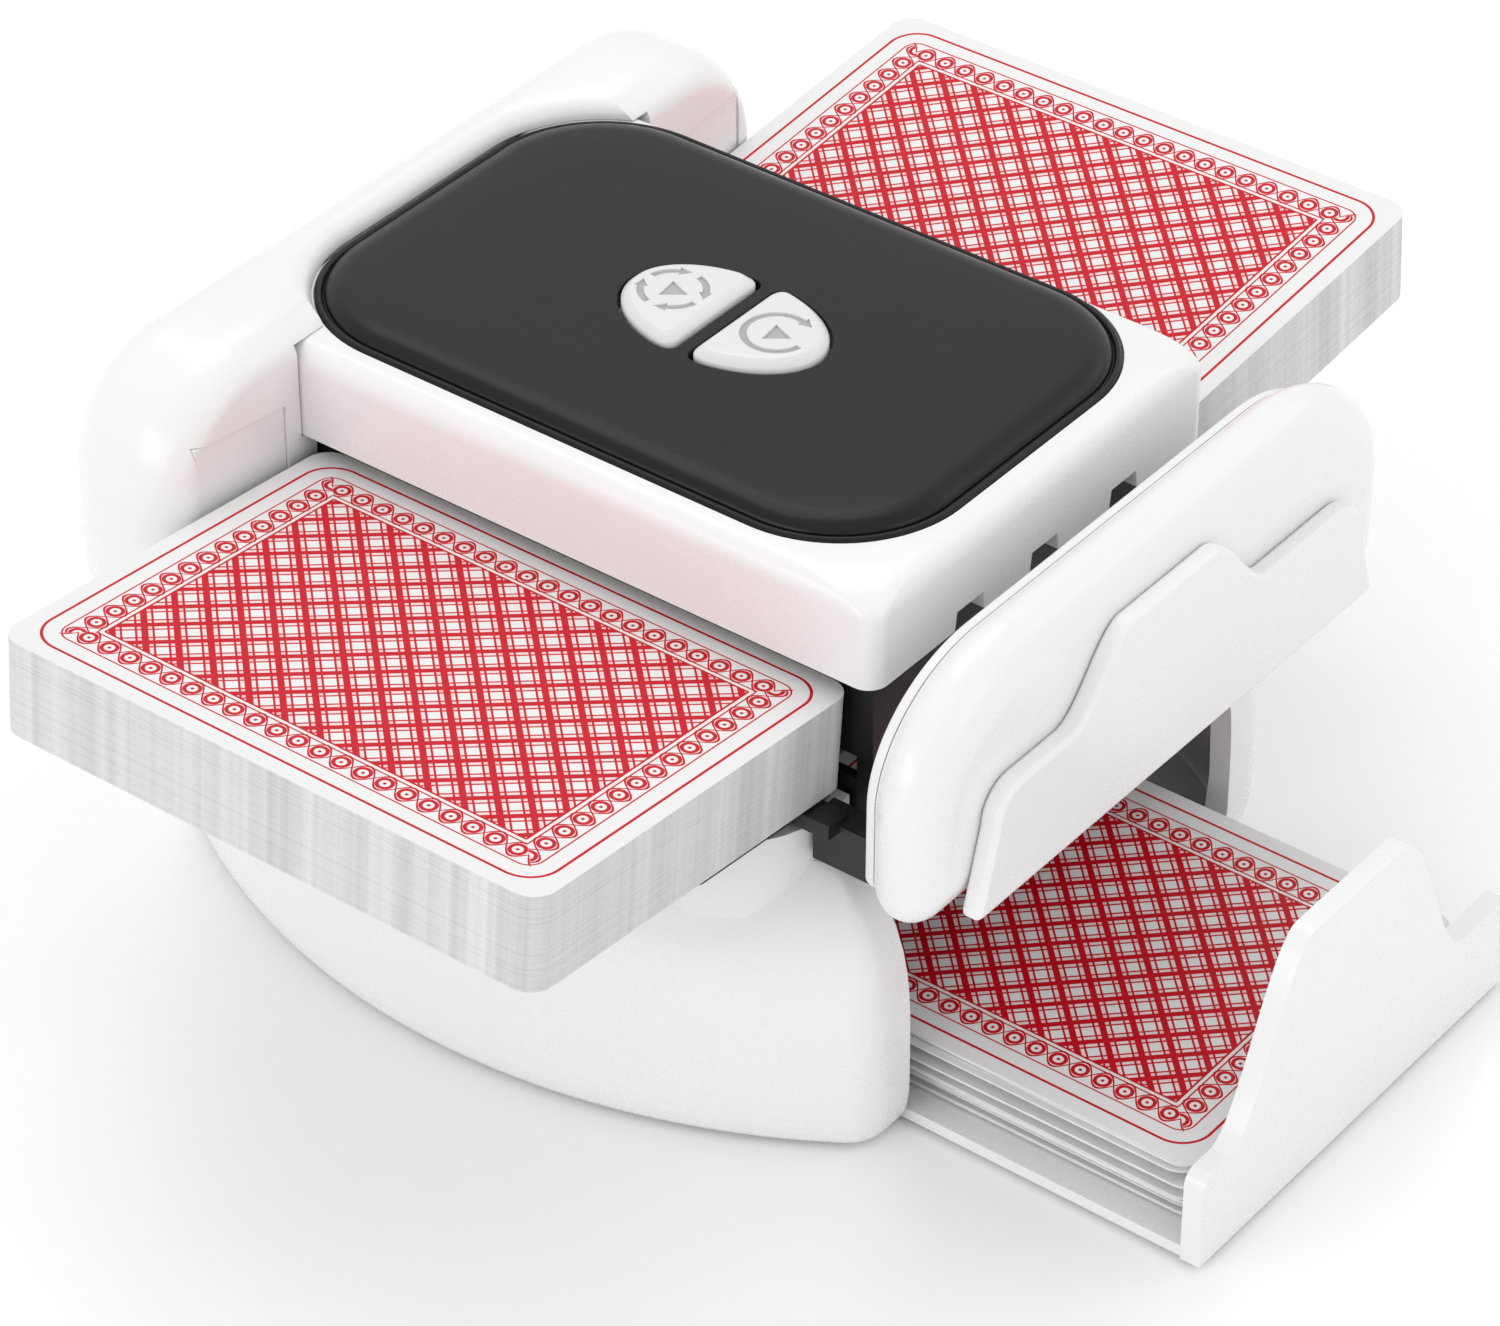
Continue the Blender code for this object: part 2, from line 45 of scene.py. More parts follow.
# a node socket that adds Math nodes when it is used in an expression
class Sock:
    def __init__(self, graph, socket):
        self.graph = graph
        self.socket = socket

    def math(self, operation, *others):
        return self.graph.node("ShaderNodeMath", {"operation": operation}, dict(enumerate((self, *others))))

    def __add__(self, other):
        return self.math("ADD", other)

    __radd__ = __add__

    def __sub__(self, other):
        return self.math("SUBTRACT", other)

    def __rsub__(self, other):
        return self.graph.node("ShaderNodeMath", {"operation": "SUBTRACT"}, {0: other, 1: self})

    def __mul__(self, other):
        return self.math("MULTIPLY", other)

    __rmul__ = __mul__

    def __truediv__(self, other):
        return self.math("DIVIDE", other)

    def __lt__(self, other):
        return self.math("LESS_THAN", other)

    def __gt__(self, other):
        return self.math("GREATER_THAN", other)

    def __abs__(self):
        return self.math("ABSOLUTE")

    def least(self, other):
        return self.math("MINIMUM", other)

    def most(self, other):
        return self.math("MAXIMUM", other)

    def fract(self):
        return self.math("FRACT")

    def power(self, other):
        return self.math("POWER", other)


# the node tree of one material, with its Principled shader at hand
class Graph:
    def __init__(self, name, **constants):
        self.material = bpy.data.materials.new(name)
        self.material.use_nodes = True
        self.tree = self.material.node_tree
        self.shader = self.tree.nodes["Principled BSDF"]
        for key, value in constants.items():
            socket = self.shader.inputs[key.replace("_", " ")]
            socket.default_value = (*value, 1.0) if isinstance(value, tuple) else value

    def node(self, kind, settings=None, inputs=None, out=0):
        made = self.tree.nodes.new(kind)
        for key, value in (settings or {}).items():
            setattr(made, key, value)
        for key, value in (inputs or {}).items():
            socket = made.inputs[key]
            if isinstance(value, Sock):
                self.tree.links.new(value.socket, socket)
            elif isinstance(value, tuple) and socket.type == "RGBA":
                socket.default_value = (*value, 1.0)
            else:
                socket.default_value = value
        return Sock(self, made.outputs[out])

    def place(self):
        return self.node("ShaderNodeTexCoord", out=3)

    def noise(self, scale, detail=2.0, vector=None):
        where = vector or self.place()
        return self.node("ShaderNodeTexNoise", {}, {"Vector": where, "Scale": scale, "Detail": detail})

    def stretch(self, scale, vector=None):
        return self.node("ShaderNodeMapping", {}, {"Vector": vector or self.place(), "Scale": scale})

    def mix(self, factor, one, two):
        return self.node("ShaderNodeMix", {"data_type": "RGBA"}, {0: factor, 6: one, 7: two}, 2)

    def feed(self, socket, value):
        self.tree.links.new(value.socket, self.shader.inputs[socket])
        return self

    def bump(self, height, strength, distance):
        made = self.node("ShaderNodeBump", {}, {"Height": height, "Strength": strength, "Distance": distance})
        return self.feed("Normal", made)


def whitePlastic(name, tone=0.82, rough=0.27, coat=0.2):
    g = Graph(name, Coat_Weight=coat, Coat_Roughness=0.12, Specular_IOR_Level=0.45)
    cloud = g.noise(38.0, 3.0)
    grain = g.noise(2600.0, 2.0)
    g.feed("Base Color", g.mix(cloud, (tone, tone, tone * 1.005), (tone * 1.035, tone * 1.035, tone * 1.04)))
    g.feed("Roughness", rough + 0.07 * (cloud - 0.5) + 0.05 * (grain - 0.5))
    return g.bump(g.noise(900.0, 3.0), 0.05, 0.00012).material


def blackPlastic(name, tone, rough, grainSize, strength, specular=0.5):
    g = Graph(name, Specular_IOR_Level=specular)
    cloud = g.noise(30.0, 3.0)
    grain = g.noise(grainSize, 3.0)
    g.feed("Base Color", g.mix(cloud, (tone, tone, tone), (tone * 1.35, tone * 1.35, tone * 1.4)))
    g.feed("Roughness", rough + 0.12 * (grain - 0.5) + 0.05 * (cloud - 0.5))
    return g.bump(grain, strength, 0.0001).material


def metal(name, colour, rough, along=(1.0, 1.0, 1.0)):
    g = Graph(name, Metallic=1.0)
    brushed = g.noise(900.0, 4.0, g.stretch(along))
    tint = tuple(c * 0.82 for c in colour)
    g.feed("Base Color", g.mix(brushed, tint, colour))
    g.feed("Roughness", rough + 0.22 * (brushed - 0.5))
    return g.bump(brushed, 0.12, 0.00005).material


def softRubber(name, tone, rough):
    g = Graph(name)
    grain = g.noise(1800.0, 3.0)
    dust = g.noise(60.0, 4.0)
    g.feed("Base Color", g.mix(dust, (tone, tone, tone), (tone * 1.6, tone * 1.6, tone * 1.55)))
    g.feed("Roughness", rough + 0.12 * (grain - 0.5))
    return g.bump(grain, 0.25, 0.0001).material


def plainMould(name, one, two, rough):
    g = Graph(name)
    cloud = g.noise(120.0, 3.0)
    g.feed("Base Color", g.mix(cloud, one, two))
    g.feed("Roughness", rough + 0.1 * (cloud - 0.5))
    return g.bump(g.noise(1500.0, 2.0), 0.08, 0.0001).material


# card back in mm: X and Y are half widths about the middle, the field's lines are shares of a lattice step
backDesign = {
    "red": (0.56, 0.002, 0.012), "pink": (0.86, 0.47, 0.47), "paper": (0.82, 0.815, 0.815),
    "lineX": 41.4, "lineY": 28.9, "lineR": 4.6, "lineHalf": 0.21,
    "railGap": 2.15, "railR": 2.2, "railHalf": 0.12, "innerGap": 0.75, "innerR": 0.3,
    "frameR": 0.1, "frameHalf": 0.16,
    "chainX": 36.75, "chainY": 24.25, "chainStep": 3.5, "chainHalf": 1.85,
    "ringR": 1.0, "ringHalf": 0.27, "dotR": 0.25, "ropeReach": 1.62, "ropeHalf": 0.19,
    "fieldX": 34.4, "fieldY": 21.9, "latticeStep": 4.1, "broadLine": 0.11, "fineAt": 0.27, "fineLine": 0.036,
    "washOne": 0.45, "washAll": 0.75,
}


def cardBack(name):
    d = backDesign
    g = Graph(name, Specular_IOR_Level=0.2)
    uv = g.node("ShaderNodeUVMap", {"uv_map": "cardPlace"})
    u, v = (g.node("ShaderNodeSeparateXYZ", {}, {0: uv}, i) * uvScale for i in (0, 1))
    au, av = abs(u), abs(v)

    def edgeLine(halfX, halfY, r, half):
        qx = au - (halfX - r)
        qy = av - (halfY - r)
        far = (qx.most(0.0).power(2.0) + qy.most(0.0).power(2.0)).power(0.5)
        return abs(far + qx.most(qy).least(0.0) - r) < half

    outer = edgeLine(d["lineX"], d["lineY"], d["lineR"], d["lineHalf"])
    rails = edgeLine(d["chainX"] + d["railGap"], d["chainY"] + d["railGap"], d["railR"], d["railHalf"])
    inner = edgeLine(d["fieldX"] + d["innerGap"], d["fieldY"] + d["innerGap"], d["innerR"], d["railHalf"])
    rails = rails.most(inner).most(edgeLine(d["fieldX"], d["fieldY"], d["frameR"], d["frameHalf"]))
    # the chain runs along the long sides where v leads, and along the short sides elsewhere
    du, dv = au - d["chainX"], av - d["chainY"]
    longSide = dv > du
    run = u * longSide + v * (1 - longSide)
    off = dv * longSide + du * (1 - longSide)
    step = d["chainStep"]
    cell = ((run / step + 0.5).fract() - 0.5) * step
    far = (cell.power(2.0) + off.power(2.0)).power(0.5)
    ring = (abs(far - d["ringR"]) < d["ringHalf"]).most(far < d["dotR"])
    wave = (run * (math.pi / step)).math("COSINE") * d["ropeReach"]
    rope = (abs(off - wave) < d["ropeHalf"]).most(abs(off + wave) < d["ropeHalf"])
    chain = ring.most(rope * (far > d["ringR"] + 0.1)) * (abs(off) < d["chainHalf"])
    # tartan field on the two diagonals: a broad line and a pair of fine lines each step
    field = (au < d["fieldX"]) * (av < d["fieldY"])
    lines, washes = [], []
    for sign in (1.0, -1.0):
        across = ((u + sign * v) * (math.sqrt(0.5) / d["latticeStep"])).fract()
        away = abs(across - 0.5)
        lines.append((away < d["broadLine"]).most(abs(away - d["fineAt"]) < d["fineLine"]))
        washes.append(away < d["fineAt"])
    red = outer.most(rails).most(chain).most(lines[0].most(lines[1]) * field)
    wash = (washes[0] * d["washOne"] + washes[1] * d["washOne"]) * field
    fade = g.noise(400.0, 2.0)
    paper = g.mix(fade, d["paper"], tuple(c * 0.97 for c in d["paper"]))
    tinted = g.mix(wash * d["washAll"], paper, d["pink"])
    g.feed("Base Color", g.mix(red, tinted, d["red"]))
    g.feed("Roughness", 0.42 + 0.1 * (fade - 0.5))
    return g.bump(g.noise(2400.0, 2.0), 0.06, 0.00008).material


# the noise follows the card's outline only, so its streaks run straight down the pack
def cardEdge(name, tone, streaks):
    g = Graph(name)
    uv = g.node("ShaderNodeUVMap", {"uv_map": "cardPlace"})
    broad = g.noise(16.0, 3.0, uv)
    fine = g.noise(75.0, 2.0, uv)
    grade = (0.6 * broad + 0.4 * fine - 0.5) * streaks + 0.5
    g.feed("Base Color", g.mix(grade, (tone * 0.74, tone * 0.74, tone * 0.75), (tone, tone, tone)))
    g.feed("Roughness", 0.6 + 0.2 * (fine - 0.5))
    return g.bump(fine, 0.2, 0.0001).material


white = whitePlastic("whiteShell")
whiteSatin = whitePlastic("whiteSatin", 0.76, 0.4, 0.0)
whiteKey = whitePlastic("whiteKey", 0.72, 0.24, 0.2)
panelBlack = blackPlastic("pianoBlack", 0.006, 0.26, 700.0, 0.02, 0.24)
satinBlack = blackPlastic("satinBlack", 0.008, 0.45, 1600.0, 0.2)
steel = metal("groundSteel", (0.62, 0.62, 0.64), 0.3, (0.05, 1.0, 1.0))
plated = metal("platedSteel", (0.66, 0.66, 0.67), 0.36)
brass = metal("pinionBrass", (0.72, 0.52, 0.22), 0.34)
rollerRubber = softRubber("rollerRubber", 0.03, 0.75)
footRubber = softRubber("footRubber", 0.04, 0.8)
silicone = softRubber("silicone", 0.55, 0.5)
# a grey for the floors of the debossed key icons: painted shade standing in for the shade inside the recesses
iconRecessShade = plainMould("iconRecessShade", (0.4, 0.4, 0.41), (0.46, 0.46, 0.47), 0.4)
nylon = plainMould("nylon", (0.72, 0.7, 0.62), (0.8, 0.78, 0.7), 0.45)
board = plainMould("solderMask", (0.01, 0.12, 0.05), (0.02, 0.17, 0.07), 0.35)
cellSleeve = plainMould("cellSleeve", (0.02, 0.12, 0.35), (0.03, 0.16, 0.42), 0.35)
backPattern = cardBack("cardBack")
packEdge = cardEdge("packEdge", 0.73, 3.2)
looseEdge = cardEdge("looseEdge", 0.9, 0.8)
print("materials made")


def meshFrom(name, points, faces, material, smooth=35.0):
    mesh = bpy.data.meshes.new(name)
    mesh.from_pydata((points * mm).tolist(), [], faces)
    mesh.update()
    made = bpy.data.objects.new(name, mesh)
    bpy.context.scene.collection.objects.link(made)
    mesh.materials.append(material)
    mesh.shade_smooth()
    mesh.set_sharp_from_angle(angle=math.radians(smooth))
    return made


# quads between neighbouring closed rows of points
def ringFaces(rows, count, start=0):
    r, c = np.meshgrid(np.arange(rows - 1), np.arange(count), indexing="ij")
    a = start + r * count + c
    b = start + r * count + (c + 1) % count
    return np.stack([a, b, b + count, a + count], -1).reshape(-1, 4).tolist()


# closed skin through outlines (rows, points, 2) set at levels along an axis, with flat ends
def loft(name, outlines, levels, axis, material, smooth=35.0, shift=bodyX):
    rows, count = outlines.shape[:2]
    level = np.repeat(np.asarray(levels, float)[:, None], count, 1)
    u, v = outlines[..., 0], outlines[..., 1]
    order = {"z": (u, v, level), "x": (level, u, v), "y": (u, level, v)}[axis]
    points = np.stack(order, -1).reshape(-1, 3) + np.array([shift, 0, 0])
    faces = ringFaces(rows, count)
    faces.append(list(range(count))[::-1])
    faces.append(list(range((rows - 1) * count, rows * count)))
    made = meshFrom(name, points, faces, material, smooth)
    flipIfInside(made)
    return made


# turns a skin whose signed volume is negative
def flipIfInside(made):
    mesh = made.data
    mesh.calc_loop_triangles()
    co = np.empty(len(mesh.vertices) * 3)
    mesh.vertices.foreach_get("co", co)
    tri = np.empty(len(mesh.loop_triangles) * 3, int)
    mesh.loop_triangles.foreach_get("vertices", tri)
    a, b, c = co.reshape(-1, 3)[tri.reshape(-1, 3)].transpose(1, 0, 2)
    if np.einsum("ij,ij->i", a, np.cross(b, c)).sum() < 0:
        mesh.flip_normals()


def arcPoints(cu, cv, ru, rv, start, end, count):
    a = np.radians(np.linspace(start, end, count))
    return np.stack([cu + ru * np.cos(a), cv + rv * np.sin(a)], -1)


# rectangle with quarter-round corners, anticlockwise
def rounded(u0, v0, u1, v1, r, count=10):
    r = max(r, 0.05)
    return np.concatenate([
        arcPoints(u1 - r, v0 + r, r, r, -90, 0, count), arcPoints(u1 - r, v1 - r, r, r, 0, 90, count),
        arcPoints(u0 + r, v1 - r, r, r, 90, 180, count), arcPoints(u0 + r, v0 + r, r, r, 180, 270, count)])


def solid(name, outline, low, high, axis, material=None, smooth=35.0):
    return loft(name, np.stack([outline, outline]), [low, high], axis, material or satinBlack, smooth)


# round pin or bore along one axis
def rod(u, v, r, low, high, axis):
    return solid("cutter", arcPoints(u, v, r, r, 0, 345, 24), low, high, axis)


# upright block, with its upright edges rounded when r is given
def box(x0, x1, y0, y1, z0, z1, r=0.0):
    y0, y1 = sorted((y0, y1))
    plain = np.array([(x0, y0), (x1, y0), (x1, y1), (x0, y1)], float)
    return solid("cutter", rounded(x0, y0, x1, y1, r, 8) if r else plain, z0, z1, "z")


# boolean with each tool in turn, then the tools go and the shading is set again
def shape(made, tools, operation, smooth=35.0):
    for tool in tools:
        mod = made.modifiers.new("cut", "BOOLEAN")
        mod.operation = operation
        mod.solver = "EXACT"
        mod.object = tool
    bpy.context.view_layer.update()
    mesh = bpy.data.meshes.new_from_object(made.evaluated_get(bpy.context.evaluated_depsgraph_get()))
    made.modifiers.clear()
    made.data = mesh
    for tool in tools:
        bpy.data.objects.remove(tool)
    keep = mesh.materials[0]
    mesh.materials.clear()
    mesh.materials.append(keep)
    mesh.polygons.foreach_set("material_index", np.zeros(len(mesh.polygons), int))
    mesh.shade_smooth()
    mesh.set_sharp_from_angle(angle=math.radians(smooth))
    return made


def cut(made, *tools, smooth=35.0):
    return shape(made, tools, "DIFFERENCE", smooth)


def join(made, *tools, smooth=35.0):
    return shape(made, tools, "UNION", smooth)


def bevel(made, width, segments=3, angle=30.0):
    mod = made.modifiers.new("edge", "BEVEL")
    mod.width = width * mm
    mod.segments = segments
    mod.limit_method = "ANGLE"
    mod.angle_limit = math.radians(angle)
    mod.harden_normals = True
    return made


def stands(made, node, body):
    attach(made, body)
    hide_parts(node)
    return made


baseForm = {
    "halfX": 60.4, "halfY": 64.4, "arcR": 103.0, "cornerR": 7.0, "low": 1.0, "rim": 8.0, "top": 42.0,
    "tuck": 2.4, "crown": 9.5, "crownPower": 4.3, "wall": 3.3, "roof": 2.2,
    "neckX": (-38, 48), "neckFront": 54.0, "neckLow": 36, "neckTop": 48.2, "neckR": 14.0, "neckWall": 2.2,
    "shaftX": (-43.6, 51.6), "shaftY": 34.3, "bayX": (50, 70), "bayY": 37.1, "bayTop": 38,
    "slotX": (-52, -46), "slotY": (53.5, 33), "boreY": 42.0, "boreZ": 45.6, "boreR": 1.6,
    "port": (-5.0, 10.0, 5.0, 14.2, 2.0),
}


# two large arcs joined by straight sides, with small corner arcs between them
def baseOutline(inset):
    b = baseForm
    halfX, big, r = b["halfX"] - inset, b["arcR"] - inset, max(b["cornerR"] - inset, 2.0)
    cy = b["arcR"] - b["halfY"]
    cx = halfX - r
    cornerY = cy - math.sqrt((big - r) ** 2 - cx ** 2)
    lean = math.degrees(math.atan2(cornerY - cy, cx))
    half = np.concatenate([
        arcPoints(-cx, cornerY, r, r, 180, -180 - lean + 360, 10)[:-1],
        arcPoints(0, cy, big, big, -180 - lean, lean, 61),
        arcPoints(cx, cornerY, r, r, lean, 0, 10)[1:]])
    return np.concatenate([half, -half])


# rounded tuck below the rim, then a lean that grows with a high power of the height up to the crown
def baseInset(z):
    b = baseForm
    below = b["tuck"] * (1 - math.sqrt(max(0.0, 1 - ((b["rim"] - z) / (b["rim"] - b["low"])) ** 2)))
    above = b["crown"] * max(0.0, (z - b["rim"]) / (b["top"] - b["rim"])) ** b["crownPower"]
    return below if z < b["rim"] else above


b = baseForm
skirt, shoulder = np.linspace(b["rim"] + 2, 33, 8), np.linspace(34, b["top"], 12)
heights = [*np.linspace(b["low"], b["rim"], 9), *skirt, *shoulder]
base = loft("baseShell", np.stack([baseOutline(baseInset(z)) for z in heights]), heights, "z", white)
neckZ = (b["neckLow"], b["neckTop"])
join(base, *[box(*b["neckX"], s * b["neckFront"], s * 20, *neckZ, b["neckR"]) for s in (-1, 1)])
roomHeights = [-1.0, 3.0, 12.0, 24.0, 32.0, 36.0, b["top"] - b["roof"]]
roomRows = np.stack([baseOutline(baseInset(max(z, 3.0)) + b["wall"]) for z in roomHeights])
tools = [loft("cutter", roomRows, roomHeights, "z", white),
         box(*b["shaftX"], -b["shaftY"], b["shaftY"], 30, 60),
         box(*b["bayX"], -b["bayY"], b["bayY"], -1, b["bayTop"])]
roomX = (b["neckX"][0] + b["neckWall"], b["neckX"][1] - b["neckWall"])
roomFront = b["neckFront"] - b["neckWall"]
for s in (-1, 1):
    tools.append(box(*roomX, s * roomFront, s * 20, 30, 60, b["neckR"] - b["neckWall"]))
    tools.append(box(*b["slotX"], s * b["slotY"][0], s * b["slotY"][1], 30, 60))
    tools.append(rod(s * b["boreY"], b["boreZ"], b["boreR"], -60, -30, "x"))
tools.append(solid("cutter", rounded(*b["port"]), -70, -50, "x"))
cut(base, *tools)
bevel(base, 0.5, 2, 50)
stands(base, "base_shell", "frame")
print("base made")

bellY = -3.3  # middle of the hump on the drawer plate and the badge
drawerForm = {
    "out": 106.0, "plate": 3.0, "half": 36.6, "back": -2.0, "floor": 0.8, "floorT": 1.8, "hump": 41.6,
    "shoulder": 15.4, "cornerR": 2.2, "foot": 27.8, "brow": 10.2, "stopTop": 9.0, "stopHalf": 30, "gap": 0.4,
}


# skirt with round shoulders, and a flat-topped hump whose flanks are half a cosine wave
def bellOutline(half, lean, low, shoulder, corner, top, foot, brow):
    t = np.linspace(0, 1, 33)
    bend = arcPoints(lean + corner - half, shoulder - corner, corner, corner, 180, 90, 9)
    skirt = np.concatenate([[(-half, low)], bend])
    wave = (1 - np.cos(np.pi * t)) / 2
    hump = np.stack([-foot + (foot - brow) * t, shoulder + (top - shoulder) * wave], -1)
    left = np.concatenate([skirt, hump + [bellY, 0]])
    right = np.concatenate([skirt * [-1, 1], hump * [-1, 1] + [bellY, 0]])
    return np.concatenate([left, right[::-1]])


d = drawerForm
plateSide = (d["half"], 0.0, d["floor"], d["shoulder"], d["cornerR"], d["hump"], d["foot"], d["brow"])
plateIn = d["out"] - d["plate"]
drawer = solid("drawerTray", bellOutline(*plateSide), plateIn, d["out"], "x", white)
floorHalf = d["half"] - d["gap"]
floorZ = (d["floor"] + 0.05, d["floor"] + d["floorT"])
join(drawer, box(d["back"], plateIn + 1.2, -floorHalf, floorHalf, *floorZ, 1.5),
     box(d["back"] + 0.1, d["back"] + 2, -d["stopHalf"], d["stopHalf"], d["floor"] + 0.1, d["stopTop"]))
bevel(drawer, 0.7, 3, 40)
stands(drawer, "drawer", "drawer")
print("drawer made")

stemX = (-6.5, 8.9)  # middles of the two key stems
coverForm = {
    "halfX": 53.5, "halfY": 37.0, "low": 68.0, "top": 82.0, "roll": 3.6, "lean": 0.72, "wall": 2.2,
    "innerTop": 79.2, "cornerR": 3.0, "topR": 15.0, "notchY": (-16.5, -0.2, 17.6), "notchTop": 70.8,
    "notchHalf": (4.4, 2.8),
    "stemR": 2.4, "panelSeat": 80.9,
}
panelForm = {
    "x": -1.4, "y": 1.4, "halfX": 50.8, "halfY": 34.2, "cornerR": 19.0, "seat": 81.2, "top": 84.0,
    "lip": 82.3, "groove": 81.9, "rollStart": 1.3, "rollWide": 4.2, "rollHigh": 1.95,
}
p = panelForm


def panelOutline(inset):
    halfX, halfY = p["halfX"] - inset, p["halfY"] - inset
    return rounded(p["x"] - halfX, p["y"] - halfY, p["x"] + halfX, p["y"] + halfY, p["cornerR"] - inset, 24)


c = coverForm
turn = np.radians(np.linspace(0, 84, 12))


# cover seen from above, drawn in by an inset
def coverOutline(inset, r):
    halfX, halfY = c["halfX"] - inset, c["halfY"] - inset
    return rounded(-halfX, -halfY, halfX, halfY, r, 24)


coverRows, coverLevels = [coverOutline(0, c["cornerR"])], [c["low"]]
for a in turn:
    r = c["cornerR"] + (c["topR"] - c["cornerR"]) * (a / turn[-1]) ** 2
    coverRows.append(coverOutline(c["roll"] * (1 - math.cos(a)) * c["lean"], r))
    coverLevels.append(c["top"] - c["roll"] * (1 - math.sin(a)))
cover = loft("topCover", np.stack(coverRows), coverLevels, "z", white)
innerX, innerY = c["halfX"] - c["wall"], c["halfY"] - c["wall"]
tools = [solid("cutter", panelOutline(-0.2), c["panelSeat"], 90, "z"),
         box(-innerX, innerX, -innerY, innerY, 60, c["innerTop"], 1.5)]
wide, narrow = c["notchHalf"]
for y in c["notchY"]:
    notch = [(y - wide, 60), (y + wide, 60), (y + narrow, c["notchTop"]), (y - narrow, c["notchTop"])]
    tools.append(solid("cutter", np.array(notch, float), 45, 60, "x"))
for x in stemX:
    tools.append(rod(x, 0, c["stemR"], 70, 90, "z"))
cut(cover, *tools)
bevel(cover, 0.35, 2, 50)
stands(cover, "top_cover", "frame")

keyForm = {"a": 15.6, "b": 10.0, "gap": 3.0, "x": 1.2, "low": 81.9, "top": 85.4, "chamfer": 1.3, "drop": 1.0,
           "inner": 72, "knee": 2.4, "stemR": 1.8, "stemLow": 79.9, "iconX": 8.6, "iconR": 4.4,
           "iconHalf": 0.5, "iconDepth": 0.3, "playBase": 4.0, "playHigh": 3.4, "room": 0.5}


# half of an ellipse closed by a straight inner edge, with each inner corner a parabola tangent to both
def keyOutline(side, grow):
    k = keyForm
    edge = k["gap"] / 2 - grow
    a, b = k["a"] + grow, k["b"] + grow
    last = math.radians(k["inner"])
    turn = np.linspace(-last, last, 57)
    curve = np.stack([a * np.cos(turn), b * np.sin(turn)], -1)
    start = curve[-1]
    slope = np.array([-a * math.sin(last), b * math.cos(last)])
    knee = start + slope * (edge - start[0]) / slope[0]
    end = np.array([edge, knee[1] - k["knee"]])
    t = np.linspace(0, 1, 12)[1:, None]
    corner = start * (1 - t) ** 2 + knee * 2 * t * (1 - t) + end * t ** 2
    out = np.concatenate([curve, corner, corner[::-1] * [1, -1]])
    return out * [side, 1] + [k["x"], 0]


# outer lip, a groove inside it, then a rolled edge that rises to the nearly flat top
turn = np.radians(np.linspace(8, 84, 14))
rollIn = p["rollStart"] + p["rollWide"] * (1 - np.cos(turn))
rollUp = p["groove"] + p["rollHigh"] * np.sin(turn)
insets = [0.0, 0.0, 0.35, 0.8, 1.15, p["rollStart"], *rollIn, 9.0, 14.0]
lipLevels = [p["seat"], p["lip"] - 0.35, p["lip"], p["lip"], p["groove"], p["groove"]]
levels = [*lipLevels, *rollUp, p["top"] - 0.06, p["top"]]
panel = loft("topPanel", np.stack([panelOutline(i) for i in insets]), levels, "z", panelBlack)
cut(panel, *[solid("cutter", keyOutline(s, keyForm["room"]), 70, 90, "z") for s in (-1, 1)])
bevel(panel, 0.25, 2, 50)
stands(panel, "top_panel", "frame")


# part of a flat ring as an outline
def ringPart(cx, cy, r, half, start, end, count=20):
    return np.concatenate([arcPoints(cx, cy, r + half, r + half, start, end, count),
                           arcPoints(cx, cy, r - half, r - half, end, start, count)])


# triangle on a circle, pointing along it
def arrowHead(cx, cy, r, angle, size, way):
    a = math.radians(angle)
    radial = np.array([math.cos(a), math.sin(a)])
    along = np.array([-math.sin(a), math.cos(a)]) * way
    middle = np.array([cx, cy]) + radial * r
    return np.stack([middle + radial * size * 0.8, middle + along * size * 1.5, middle - radial * size * 0.8])


# upright triangle seen from the drawer's front corner
def play(cx, cy, base, height):
    along, up = np.array([0.791, 0.612]), np.array([-0.612, 0.791])
    foot = np.array([cx, cy]) - up * height * 0.42
    return np.stack([foot - along * base / 2, foot + along * base / 2, foot + up * height])


# gives the flat floors of recesses at one level a second material
def paintFloors(made, level, material):
    mesh = made.data
    mesh.materials.append(material)
    middles = np.empty(len(mesh.polygons) * 3)
    mesh.polygons.foreach_get("center", middles)
    onLevel = np.abs(middles[2::3] / mm - level) < 0.02
    normals = np.empty(len(mesh.polygons) * 3)
    mesh.polygons.foreach_get("normal", normals)
    mesh.polygons.foreach_set("material_index", (onLevel & (normals[2::3] > 0.99)).astype(int))


for side, tag, body in ((-1, "left", "left_button"), (1, "right", "right_button")):
    k = keyForm
    insets = [0.0, 0.0, 0.12, k["chamfer"] - 0.2, k["chamfer"] + 0.15]
    levels = [k["low"], k["top"] - k["drop"] - 0.25, k["top"] - k["drop"], k["top"] - 0.06, k["top"]]
    key = loft(tag + "Key", np.stack([keyOutline(side, -i) for i in insets]), levels, "z", whiteKey)
    join(key, rod(stemX[side > 0], 0, k["stemR"], k["stemLow"], k["low"] + 0.5, "z"))
    cx, r, half = k["x"] + side * k["iconX"], k["iconR"], k["iconHalf"]
    marks = [play(cx, 0.0, k["playBase"], k["playHigh"])]
    if side < 0:
        for start in (26, 116, 206, 296):
            marks.append(ringPart(cx, 0, r, half, start, start + 52))
            marks.append(arrowHead(cx, 0, r, start + 0.5, 1.2, -1))
    else:
        marks.append(ringPart(cx, 0, r, half, 75, 350, 48))
        marks.append(arrowHead(cx, 0, r, 75.5, 1.3, -1))
    cut(key, *[solid("cutter", mark, k["top"] - k["iconDepth"], 90, "z") for mark in marks])
    # the recess floors get the grey material as painted shade inside the debossed icons
    paintFloors(key, k["top"] - k["iconDepth"], iconRecessShade)
    stands(key, "button_" + tag, body)
print("cover, panel and keys made")

